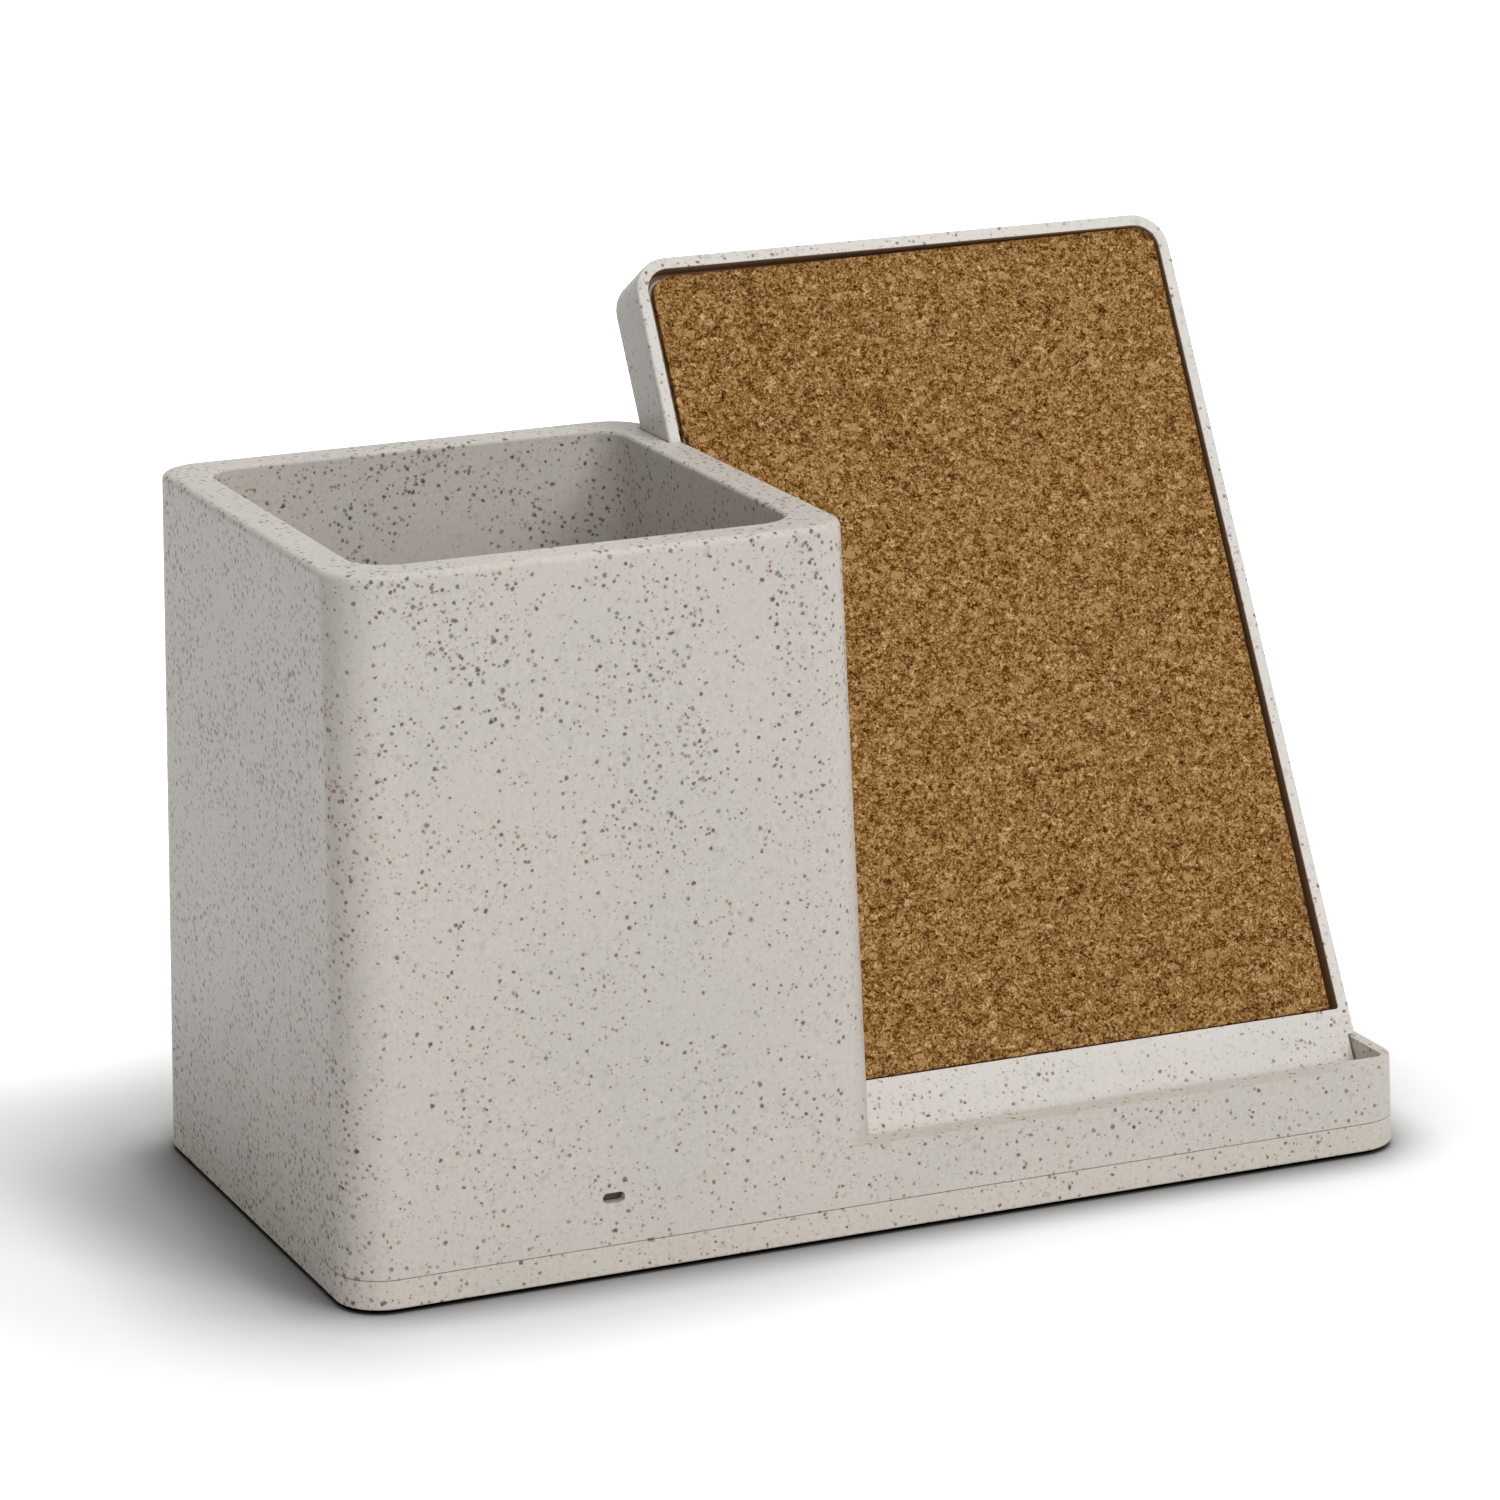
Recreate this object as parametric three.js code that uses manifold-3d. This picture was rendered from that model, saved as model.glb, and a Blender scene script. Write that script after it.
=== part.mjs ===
// Desk organiser with a square pen cup, a low tray and a leaning phone charging stand.
// Millimetres, +Z up, front towards -Y. The origin is under the middle of the footprint.

import * as THREE from 'three';
import { mergeVertices } from 'three/addons/utils/BufferGeometryUtils.js';
import Module from 'manifold-3d';

// Body: one moulding for the cup, the tray and the deck behind it
const baseLength = 151.9;
const baseDepth = 80;
const cupWidth = 74.2;
const cupHeight = 94.6;
const cupWall = 5.6;
const wallDraft = 2.2;
const cornerRadius = 6.4;
const rimRound = 1;
const wellRimRound = 0.6;
const wellCornerRadius = 5.5;
const wellFloorHeight = 17;
const wellFloorThickness = 3;
const wellFloorRound = 2.5;
const deckHeight = 12;
const deckThickness = 2.2;
const trayFloorHeight = 9.24;
const trayFloorThickness = 2.2;
const lipThickness = 3.4;
const trayWallThickness = 1.6;
const trayCornerRadius = 1.2;
const shellWall = 2.4;

// Bottom cover, split from the body at the seam
const seamHeight = 3.86;
const coverFloor = 2.2;
const coverWall = 2.4;
const coverEdge = 0.4;
const locatingLip = 1.4;
const locatingLipRise = 2.2;

// Rubber feet
const footRadius = 5;
const footThickness = 1.4;
const footProud = 0.6;
const footInsetX = 22;
const footInsetY = 10;

// Leaning stand
const standKeyDepth = 4.4;
const standSideMargin = 1;
const standFront = 11.67;
const standLean = 29.2;
const standLength = 124.05;
const standThickness = 9.4;
const standCorner = 5;
const standFootCorner = 2;
const standEdge = 0.4;
const standRim = 1.65;
const standStrip = 7.2;
const standFaceWall = 1.2;
const standSideWall = 1.9;
const standLedge = 1.5;
const standBackThickness = 1.8;
const standCavityStart = 14;
const standFootLevel = 6.6;
const socketFloor = 1.8;
const socketWall = 1.8;

// Cork pad and its adhesive sheet
const corkDepth = 0.8;
const corkThickness = 1.2;
const corkMargin = 0.5;
const adhesiveThickness = 0.2;

// Charging coil stack
const coilHeight = 68;
const coilShare = 0.3094;
const coilInnerShare = 0.4;
const coilThickness = 1;
const ferriteShare = 0.6683;
const ferriteLength = 54;
const ferriteThickness = 0.6;
const carrierShare = 0.8168;
const carrierLength = 66;
const carrierThickness = 0.6;
const carrierCorner = 3;
const carrierPostRadius = 2.2;
const carrierPinRadius = 0.9;
const leadRadius = 0.5;
const leadSpacing = 2.4;
const passageInset = 22.2;
const passageWidth = 8;

// Circuit board and what is soldered on it
const boardLeft = 15;
const boardFront = 5.2;
const boardSideGap = 2;
const boardBackMargin = 5.8;
const boardThickness = 1.6;
const boardHeight = 7.6;
const boardCorner = 1;
const boardPostRadius = 2.6;
const boardPostInset = 4.5;
const inletShare = 0.55;
const inletWidth = 8.94;
const inletHeight = 3.16;
const inletLength = 7.35;
const inletShell = 0.3;
const inletRecess = 0.9;
const inletTongueThickness = 0.7;
const inletTongueLength = 4.5;
const inletTongueMargin = 0.9;
const inletBackWall = 1.2;
const chipSide = 7;
const chipThickness = 0.9;
const inductorSide = 6.6;
const inductorThickness = 3;
const capacitorLength = 4.5;
const capacitorWidth = 3.2;
const capacitorThickness = 2;
const capacitorSpacing = 5.4;

// Indicator: a lamp on the board and a light guide in the front slot
const slotShare = 0.5235;
const slotHeight = 10.34;
const slotWidth = 3.1;
const slotDepth = 1.36;
const lensRecess = 1.1;
const lampWidth = 3;
const lampLength = 1.6;
const lampThickness = 1.9;

// Screws
const screwHeadRadius = 2.6;
const screwHeadHeight = 1.6;
const screwShankRadius = 1.4;
const coverScrewLength = 8.2;
const standScrewLength = 8.4;
const boardScrewLength = 5.6;
const screwRecessDepth = 0.9;
const screwRecessLength = 3;
const screwRecessWidth = 0.7;
const screwBossWall = 2;
const screwSeat = 2.4;
const cornerScrewInset = 9;

// Clearances
const fitGap = 0.3;
const lensGap = 0.1;
const cutOverrun = 1;

// Facets on rounded forms
const cornerSteps = 8;
const edgeSteps = 5;
const roundSides = 24;
const screwSides = 16;
const leadSides = 8;
const leadSteps = 40;

const quarterTurn = Math.PI / 2;
const lean = THREE.MathUtils.degToRad(standLean);

// Heights and places that follow from the sizes above
const shellBottom = seamHeight + fitGap / 2;
const coverTop = seamHeight - fitGap / 2;
const bossBottom = shellBottom + cutOverrun;
const wellCeiling = wellFloorHeight - wellFloorThickness;
const deckCeiling = deckHeight - deckThickness;
const trayCeiling = trayFloorHeight - trayFloorThickness;
const cupRightAtDeck = cupWidth - leanIn(deckHeight);
const trayRight = baseLength - leanIn(deckHeight) - trayWallThickness;
const trayFrontEdge = leanIn(deckHeight) + lipThickness;
const wellLeft = wallDraft + cupWall;
const wellRight = cupWidth - wallDraft - cupWall;
const wellFront = wallDraft + cupWall;
const wellBack = baseDepth - wallDraft - cupWall;
const boardTop = boardHeight + boardThickness;
const partLevel = boardTop + fitGap;
const screwHole = screwShankRadius + fitGap;
const bossRadius = screwHole + screwBossWall;
const boardWidth = wellRight - 2 * bossRadius - screwBossWall - boardSideGap - boardLeft;
const boardLength = baseDepth - boardBackMargin - boardFront;
const inletX = boardLeft + boardWidth * inletShare;
const slotX = boardLeft + boardWidth * slotShare;

// The stand stands between a groove in the cup's wall and the tray's right wall
const standLeft = cupWidth - standKeyDepth;
const standRight = baseLength - standSideMargin;
const standWidth = standRight - standLeft;
const standMiddle = (standLeft + standRight) / 2;
const passageX = standLeft + passageInset;
const carrierWidth = standWidth * carrierShare;
const ferriteWidth = standWidth * ferriteShare;
const coilOuterRadius = standWidth * coilShare;
const coilInnerRadius = coilOuterRadius * coilInnerShare;

// Depths into the stand, from its front face
const corkBack = corkDepth + corkThickness;
const adhesiveFront = corkBack + fitGap;
const recessDepth = adhesiveFront + adhesiveThickness + fitGap;
const faceBack = recessDepth + standFaceWall;
const coilFront = faceBack + fitGap;
const ferriteFront = coilFront + coilThickness + fitGap;
const carrierFront = ferriteFront + ferriteThickness + fitGap;
const backCoverFront = standThickness - standBackThickness;

// The stand's own frame: X along the front, Y into its thickness, Z up its slope
const standPlace = new THREE.Group();
standPlace.position.set(0, standFront, trayFloorHeight);
standPlace.rotation.x = -lean;
standPlace.updateMatrix();
const standToBody = standPlace.matrix.clone();
const bodyToStand = standPlace.matrix.clone().invert();
const overhead = standLength + cupHeight;

const wasm = await Module();
wasm.setup();

// How far the outer walls have leaned in at a height
function leanIn(height) {
  return (wallDraft * height) / cupHeight;
}

// Turn a closed geometry into a solid that can be joined and cut
function toSolid(geometry) {
  const bare = geometry.clone();
  bare.deleteAttribute('normal');
  bare.deleteAttribute('uv');
  const welded = mergeVertices(bare);
  const mesh = new wasm.Mesh({
    numProp: 3,
    vertProperties: new Float32Array(welded.attributes.position.array),
    triVerts: new Uint32Array(welded.index.array),
  });
  return new wasm.Manifold(mesh);
}

function toGeometry(solid) {
  const mesh = solid.getMesh();
  const geometry = new THREE.BufferGeometry();
  geometry.setAttribute('position', new THREE.BufferAttribute(mesh.vertProperties, 3));
  geometry.setIndex(new THREE.BufferAttribute(mesh.triVerts, 1));
  geometry.computeVertexNormals();
  return geometry;
}

function joinAll(geometries) {
  return geometries.map(toSolid).reduce((whole, piece) => whole.add(piece));
}

function cutAll(solid, geometries) {
  return geometries.map(toSolid).reduce((whole, tool) => whole.subtract(tool), solid);
}

// Anticlockwise outline of a rectangle; radii run front left, front right, back right, back left
function outline(left, front, right, back, radii) {
  const [r0, r1, r2, r3] = Array.isArray(radii) ? radii : [radii, radii, radii, radii];
  const corners = [
    [left + r0, front + r0, r0, 2 * quarterTurn],
    [right - r1, front + r1, r1, 3 * quarterTurn],
    [right - r2, back - r2, r2, 0],
    [left + r3, back - r3, r3, quarterTurn],
  ];
  const points = [];
  for (const [x, y, radius, start] of corners) {
    const steps = radius > 0 ? cornerSteps : 0;
    for (let i = 0; i <= steps; i += 1) {
      const angle = start + (steps ? i / steps : 0) * quarterTurn;
      points.push(new THREE.Vector2(x + radius * Math.cos(angle), y + radius * Math.sin(angle)));
    }
  }
  return points;
}

// Closed skin through a stack of convex rings that have the same number of points
function lofted(rings) {
  const count = rings[0].points.length;
  const positions = [];
  for (const { points, z } of rings) {
    points.forEach((point) => positions.push(point.x, point.y, z));
  }
  const faces = [];
  const top = (rings.length - 1) * count;
  for (let i = 1; i < count - 1; i += 1) {
    faces.push(0, i + 1, i);
    faces.push(top, top + i, top + i + 1);
  }
  for (let low = 0; low < top; low += count) {
    const high = low + count;
    for (let i = 0; i < count; i += 1) {
      const j = (i + 1) % count;
      faces.push(low + i, low + j, high + j);
      faces.push(low + i, high + j, high + i);
    }
  }
  const geometry = new THREE.BufferGeometry();
  geometry.setAttribute('position', new THREE.Float32BufferAttribute(positions, 3));
  geometry.setIndex(faces);
  return geometry;
}

function prism(points, low, high) {
  return lofted([{ points, z: low }, { points, z: high }]);
}

// Rings of a block with rounded lower and upper edges; outlineAt takes an inset and a height
function roundedRings(outlineAt, low, high, lowRound, highRound) {
  const rings = [];
  const lowSteps = lowRound > 0 ? edgeSteps : 0;
  for (let i = 0; i <= lowSteps; i += 1) {
    const angle = (lowSteps ? i / lowSteps : 1) * quarterTurn;
    const z = low + lowRound * (1 - Math.cos(angle));
    rings.push({ points: outlineAt(lowRound * (1 - Math.sin(angle)), z), z });
  }
  const highSteps = highRound > 0 ? edgeSteps : 0;
  for (let i = 0; i <= highSteps; i += 1) {
    const angle = (highSteps ? i / highSteps : 0) * quarterTurn;
    const z = high - highRound * (1 - Math.sin(angle));
    rings.push({ points: outlineAt(highRound * (1 - Math.cos(angle)), z), z });
  }
  return rings;
}

// Plate lying in the stand's plane, between two depths
function plate(points, near, far) {
  return prism(points, -far, -near).rotateX(quarterTurn);
}

// Upright cylinder between two heights
function post(x, y, low, high, radius, sides = roundSides) {
  const geometry = new THREE.CylinderGeometry(radius, radius, high - low, sides);
  return geometry.rotateX(quarterTurn).translate(x, y, (low + high) / 2);
}

// Cylinder along the stand's thickness
function standPost(x, up, near, far, radius) {
  const geometry = new THREE.CylinderGeometry(radius, radius, far - near, roundSides);
  return geometry.translate(x, (near + far) / 2, up);
}

function block(left, front, low, right, back, high) {
  const geometry = new THREE.BoxGeometry(right - left, back - front, high - low);
  return geometry.translate((left + right) / 2, (front + back) / 2, (low + high) / 2);
}

// Outline of the body at a height, drawn in by the walls' lean and by an inset
function bodyOutline(width, height, inset) {
  const near = leanIn(height) + inset;
  return outline(near, near, width - near, baseDepth - near, cornerRadius - inset);
}

function standOutline(inset, bottom) {
  const top = Math.max(standCorner - inset, standEdge);
  const foot = Math.max(standFootCorner - inset, standEdge);
  return outline(standLeft + inset, bottom, standRight - inset, standLength - inset, [foot, foot, top, top]);
}

const coverScrewPlaces = [
  [cornerScrewInset, cornerScrewInset],
  [cornerScrewInset, baseDepth - cornerScrewInset],
  [wellRight - bossRadius - screwBossWall, cornerScrewInset],
  [baseLength - cornerScrewInset, baseDepth - cornerScrewInset],
  [baseLength - cornerScrewInset, baseDepth / 2],
];

const boardScrewPlaces = [
  [boardLeft + boardPostInset, boardFront + boardPostInset],
  [boardLeft + boardWidth - boardPostInset, boardFront + boardPostInset],
  [boardLeft + boardWidth - boardPostInset, boardFront + boardLength - boardPostInset * 2],
  [boardLeft + boardPostInset, boardFront + boardLength - boardPostInset * 2],
];

const footPlaces = [
  [footInsetX, footInsetY],
  [baseLength - footInsetX, footInsetY],
  [baseLength - footInsetX, baseDepth - footInsetY],
  [footInsetX, baseDepth - footInsetY],
];

// Screws at both ends of the stand's foot, and the leads' way out between them
const standScrewY = standFront + (standThickness / 2) / Math.cos(lean);
const standScrewPlaces = [
  [standLeft + cornerScrewInset, standScrewY],
  [standRight - cornerScrewInset, standScrewY],
];
const leadDepth = coilFront + coilThickness / 2;
const leadExit = new THREE.Vector3(passageX, leadDepth, 0).applyMatrix4(standToBody);

// Space that the stand needs in the body, clear of the tray's right wall
function standSpace() {
  const left = standLeft - fitGap;
  const right = standRight + fitGap;
  const bottom = -standCavityStart;
  const slab = plate(outline(left, bottom, right, standLength + fitGap, 0), -fitGap, standThickness + fitGap);
  slab.applyMatrix4(standToBody);
  const level = standFootLevel - fitGap;
  return cutAll(toSolid(slab), [
    block(-overhead, -overhead, -overhead, overhead * 2, overhead * 2, level),
    block(trayRight, -overhead, -overhead, overhead * 2, overhead * 2, deckHeight),
  ]);
}

function makeUpperShell() {
  const base = lofted(roundedRings((inset, z) => bodyOutline(baseLength, z, inset), shellBottom, deckHeight, 0, 0));
  const cup = lofted(roundedRings((inset, z) => bodyOutline(cupWidth, z, inset), deckHeight, cupHeight, 0, rimRound));

  const wellOutline = (inset) => outline(
    wellLeft + inset, wellFront + inset, wellRight - inset, wellBack - inset, wellCornerRadius - inset,
  );
  const wellRings = roundedRings(wellOutline, wellFloorHeight, cupHeight - wellRimRound, wellFloorRound, 0);
  for (let i = 1; i <= edgeSteps; i += 1) {
    const angle = (i / edgeSteps) * quarterTurn;
    const z = cupHeight - wellRimRound * (1 - Math.sin(angle));
    wellRings.push({ points: wellOutline(-wellRimRound * (1 - Math.cos(angle))), z });
  }
  wellRings.push({ points: wellOutline(-wellRimRound), z: cupHeight + cutOverrun });

  const standBackAtDeck = standFront + (deckHeight - trayFloorHeight) * Math.tan(lean)
    + standThickness / Math.cos(lean);
  const trayBack = (standFront + standBackAtDeck) / 2;
  const tray = prism(
    outline(cupRightAtDeck, trayFrontEdge, trayRight, trayBack, [0, trayCornerRadius, 0, 0]),
    trayFloorHeight, deckHeight + cutOverrun,
  );

  const low = shellBottom - cutOverrun;
  const roomUnderTray = prism(bodyOutline(baseLength, trayCeiling, shellWall), low, trayCeiling);
  const socketBack = standBackAtDeck + fitGap + socketWall;
  const roomRight = baseLength - leanIn(deckHeight) - shellWall;
  const roomBack = baseDepth - leanIn(deckHeight) - shellWall;
  const roomRadius = cornerRadius - shellWall;
  const roomUnderDeck = prism(
    outline(wellRight - cutOverrun, socketBack, roomRight, roomBack, [0, 0, roomRadius, 0]), low, deckCeiling,
  );
  const near = leanIn(wellCeiling) + shellWall;
  const roomUnderCup = prism(
    outline(near, near, wellRight, baseDepth - near, [roomRadius, 0, 0, roomRadius]), low, wellCeiling,
  );

  const socketFront = standFront - (trayFloorHeight - standFootLevel) * Math.tan(lean) - fitGap - socketWall;
  const socketRight = roomRight - locatingLip - 2 * fitGap;
  const socket = block(
    wellRight, socketFront, standFootLevel - fitGap - socketFloor, socketRight, socketBack, trayCeiling + fitGap,
  );
  const bosses = coverScrewPlaces.map(([x, y]) => {
    const top = x < cupWidth ? wellCeiling : deckCeiling;
    return post(x, y, bossBottom, top + fitGap, bossRadius);
  });
  const bossHoles = coverScrewPlaces.map(([x, y]) => (
    post(x, y, low, screwSeat + coverScrewLength + fitGap - screwHeadHeight, screwHole, screwSides)
  ));

  const socketHoles = standScrewPlaces.map(([x, y]) => post(x, y, low, standFootLevel, screwHole, screwSides));
  const leadHole = block(
    passageX - passageWidth / 2, leadExit.y - 2 * leadSpacing, low,
    passageX + passageWidth / 2, leadExit.y + leadSpacing, standFootLevel,
  );

  const slotRadius = slotDepth / 2;
  const slot = plate(
    outline(
      slotX - slotWidth / 2, slotHeight - slotRadius, slotX + slotWidth / 2, slotHeight + slotRadius, slotRadius,
    ),
    -cutOverrun, shellWall + cutOverrun,
  );
  const inletLow = partLevel - fitGap;
  const inletHole = plate(
    outline(
      inletX - inletWidth / 2 - fitGap, inletLow,
      inletX + inletWidth / 2 + fitGap, inletLow + inletHeight + 2 * fitGap, inletHeight / 2,
    ),
    baseDepth - shellWall - cutOverrun, baseDepth + cutOverrun,
  );

  const hollowed = cutAll(joinAll([base, cup]), [
    lofted(wellRings), tray, roomUnderTray, roomUnderDeck, roomUnderCup,
  ]);
  const fitted = hollowed.add(joinAll([socket, ...bosses]));
  const drilled = cutAll(fitted, [...bossHoles, ...socketHoles, leadHole, slot, inletHole]);
  return toGeometry(drilled.subtract(standSpace()));
}

function makeBottomCover() {
  const outer = lofted(roundedRings((inset, z) => bodyOutline(baseLength, z, inset), 0, coverTop, coverEdge, 0));
  const inside = prism(bodyOutline(baseLength, coverTop, coverWall), coverFloor, coverTop + cutOverrun);
  const tray = cutAll(toSolid(outer), [inside]);

  const lipInset = shellWall + fitGap;
  const lipTop = seamHeight + locatingLipRise;
  const lipOuter = prism(bodyOutline(baseLength, lipTop, lipInset), coverFloor - fitGap, lipTop);
  const lipInner = prism(
    bodyOutline(baseLength, lipTop, lipInset + locatingLip), coverFloor - cutOverrun, lipTop + cutOverrun,
  );
  const lip = cutAll(toSolid(lipOuter), [lipInner]);

  const boardPosts = boardScrewPlaces.map(([x, y]) => (
    post(x, y, coverFloor - fitGap, boardHeight - fitGap, boardPostRadius)
  ));
  const seats = coverScrewPlaces.map(([x, y]) => (
    post(x, y, coverFloor - fitGap, bossBottom - fitGap, screwHeadRadius + fitGap + locatingLip)
  ));
  const joined = tray.add(lip).add(joinAll([...boardPosts, ...seats]));

  const postHoles = boardScrewPlaces.map(([x, y]) => post(x, y, coverFloor, boardTop, screwHole, screwSides));
  const headHoles = coverScrewPlaces.map(([x, y]) => (
    post(x, y, -cutOverrun, screwSeat, screwHeadRadius + fitGap, roundSides)
  ));
  const shankHoles = coverScrewPlaces.map(([x, y]) => post(x, y, -cutOverrun, boardTop, screwHole, screwSides));
  const footHoles = footPlaces.map(([x, y]) => (
    post(x, y, -cutOverrun, footThickness - footProud + fitGap, footRadius + fitGap)
  ));
  return toGeometry(cutAll(joined, [...postHoles, ...headHoles, ...shankHoles, ...footHoles]));
}

function makeStandFrame() {
  const bottom = -standCavityStart;
  const slab = lofted(roundedRings(
    (inset) => standOutline(inset, bottom), -standThickness, 0, standEdge, standEdge,
  )).rotateX(quarterTurn);

  const recessCorner = standCorner - standRim;
  const recess = plate(
    outline(
      standLeft + standRim, standStrip, standRight - standRim, standLength - standRim,
      [standEdge, standEdge, recessCorner, recessCorner],
    ),
    -cutOverrun, recessDepth,
  );
  const innerWall = standSideWall + standLedge;
  const cavity = plate(
    outline(
      standLeft + innerWall, standCavityStart, standRight - innerWall, standLength - innerWall, standEdge,
    ),
    faceBack, standThickness + cutOverrun,
  );
  const coverSeat = plate(
    outline(
      standLeft + standSideWall, standCavityStart - standLedge,
      standRight - standSideWall, standLength - standSideWall,
      [standEdge, standEdge, standCorner - standSideWall, standCorner - standSideWall],
    ),
    backCoverFront - fitGap, standThickness + cutOverrun,
  );
  const passage = block(
    passageX - passageWidth / 2, faceBack - fitGap, -overhead,
    passageX + passageWidth / 2, ferriteFront + ferriteThickness, standCavityStart + cutOverrun,
  );
  const hollow = cutAll(toSolid(slab), [recess, cavity, coverSeat, passage]);

  const postPlaces = carrierPostPlaces();
  const posts = postPlaces.map(([x, up]) => (
    standPost(x, up, faceBack - fitGap, carrierFront - fitGap, carrierPostRadius)
  ));
  const pins = postPlaces.map(([x, up]) => (
    standPost(x, up, faceBack, carrierFront + carrierThickness, carrierPinRadius)
  ));

  const screwTop = standFootLevel + standScrewLength;
  const bodyCuts = [
    block(-overhead, -overhead, -overhead, overhead * 2, overhead * 2, standFootLevel),
    block(trayRight - fitGap, -overhead, -overhead, overhead * 2, overhead * 2, deckHeight + fitGap),
    ...standScrewPlaces.map(([x, y]) => post(x, y, 0, screwTop, screwHole, screwSides)),
  ];
  bodyCuts.forEach((geometry) => geometry.applyMatrix4(bodyToStand));
  return toGeometry(cutAll(hollow.add(joinAll([...posts, ...pins])), bodyCuts));
}

function carrierPostPlaces() {
  const reachAcross = carrierWidth / 2 - carrierPostRadius;
  const reachUp = carrierLength / 2 - carrierPostRadius;
  return [[-1, -1], [1, -1], [1, 1], [-1, 1]].map(([across, up]) => (
    [standMiddle + across * reachAcross, coilHeight + up * reachUp]
  ));
}

// Sheet behind the coil, centred on it
function coilSheet(width, length, near, far) {
  const left = standMiddle - width / 2;
  const low = coilHeight - length / 2;
  return plate(outline(left, low, left + width, low + length, carrierCorner), near, far);
}

function makeStandBackCover() {
  const inset = standSideWall + fitGap;
  const corner = standCorner - inset;
  return plate(
    outline(
      standLeft + inset, standCavityStart - standLedge + fitGap, standRight - inset, standLength - inset,
      [standEdge, standEdge, corner, corner],
    ),
    backCoverFront, standThickness,
  );
}

// Sheet that fills the recess and stops short of the cup's wall, which the stand is let into
function recessSheet(margin, near, far) {
  const inset = standRim + margin;
  const corner = standCorner - inset;
  const sheet = plate(
    outline(
      standLeft + inset, standStrip + fitGap, standRight - inset, standLength - inset,
      [standEdge, standEdge, corner, corner],
    ),
    near, far,
  );
  const top = cupHeight + margin;
  const aroundCup = lofted([
    { points: bodyOutline(cupWidth, 0, -margin), z: 0 },
    { points: bodyOutline(cupWidth, top, -margin), z: top },
  ]);
  return toGeometry(cutAll(toSolid(sheet), [aroundCup.applyMatrix4(bodyToStand)]));
}

function makeCoilWinding() {
  const halfThickness = coilThickness / 2;
  const profile = [
    [coilInnerRadius, -halfThickness],
    [coilOuterRadius, -halfThickness],
    [coilOuterRadius, halfThickness],
    [coilInnerRadius, halfThickness],
    [coilInnerRadius, -halfThickness],
  ].map(([x, y]) => new THREE.Vector2(x, y));
  return new THREE.LatheGeometry(profile, roundSides * 2);
}

function makeCoilCarrier() {
  const sheet = coilSheet(carrierWidth, carrierLength, carrierFront, carrierFront + carrierThickness);
  const holes = carrierPostPlaces().map(([x, up]) => (
    standPost(x, up, faceBack, standThickness, carrierPinRadius + fitGap)
  ));
  return toGeometry(cutAll(toSolid(sheet), holes));
}

function makeFerritePlate() {
  return coilSheet(ferriteWidth, ferriteLength, ferriteFront, ferriteFront + ferriteThickness);
}

// Lead from the coil's rim, down the stand, through its foot and over to the board
function makeCoilLead(side) {
  const passageAt = passageX + (side * leadSpacing) / 2;
  const startAngle = Math.PI * 1.25 + (side * leadSpacing) / coilOuterRadius / 2;
  const startRadius = coilOuterRadius + fitGap + leadRadius;
  const inStand = [
    [standMiddle + startRadius * Math.cos(startAngle), leadDepth, coilHeight + startRadius * Math.sin(startAngle)],
    [passageAt, leadDepth, coilHeight / 2],
    [passageAt, leadDepth, standCavityStart],
    [passageAt, leadDepth, 0],
  ].map(([x, y, z]) => new THREE.Vector3(x, y, z).applyMatrix4(standToBody));
  const underSocket = (coverFloor + standFootLevel - fitGap - socketFloor) / 2;
  const boardRight = boardLeft + boardWidth;
  const laneY = standScrewY - screwHeadRadius - leadSpacing + (side * leadSpacing) / 2;
  const gutter = (boardRight + wellRight) / 2;
  const inBody = [
    [passageAt, (leadExit.y + laneY) / 2, (leadExit.z + underSocket) / 2],
    [passageAt - leadSpacing / 2, laneY + leadSpacing / 4, underSocket + leadRadius / 2],
    [passageAt - 2 * leadSpacing, laneY, underSocket],
    [(passageAt + wellRight) / 2, laneY, underSocket],
    [wellRight, laneY, underSocket],
    [gutter, laneY + 2 * leadSpacing, partLevel],
    [boardRight - leadSpacing, laneY + 3 * leadSpacing, partLevel + leadRadius],
  ].map(([x, y, z]) => new THREE.Vector3(x, y, z));
  const path = new THREE.CatmullRomCurve3([...inStand, ...inBody], false, 'centripetal');
  const section = new THREE.Shape(
    Array.from({ length: leadSides }, (_, i) => {
      const angle = (i / leadSides) * 4 * quarterTurn;
      return new THREE.Vector2(leadRadius * Math.cos(angle), leadRadius * Math.sin(angle));
    }),
  );
  return new THREE.ExtrudeGeometry(section, { steps: leadSteps, extrudePath: path, bevelEnabled: false });
}

// Screw standing on its head, with a cross recess underneath
function makeScrew(length) {
  const profile = [
    [0, 0],
    [screwHeadRadius, 0],
    [screwHeadRadius, screwHeadHeight],
    [screwShankRadius, screwHeadHeight],
    [screwShankRadius, length],
    [0, length],
  ].map(([x, y]) => new THREE.Vector2(x, y));
  const screw = new THREE.LatheGeometry(profile, screwSides).rotateX(quarterTurn);
  const arm = [screwRecessLength / 2, screwRecessWidth / 2];
  const [long, short] = arm;
  return toGeometry(cutAll(toSolid(screw), [
    block(-long, -short, -cutOverrun, long, short, screwRecessDepth),
    block(-short, -long, -cutOverrun, short, long, screwRecessDepth),
  ]));
}

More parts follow.
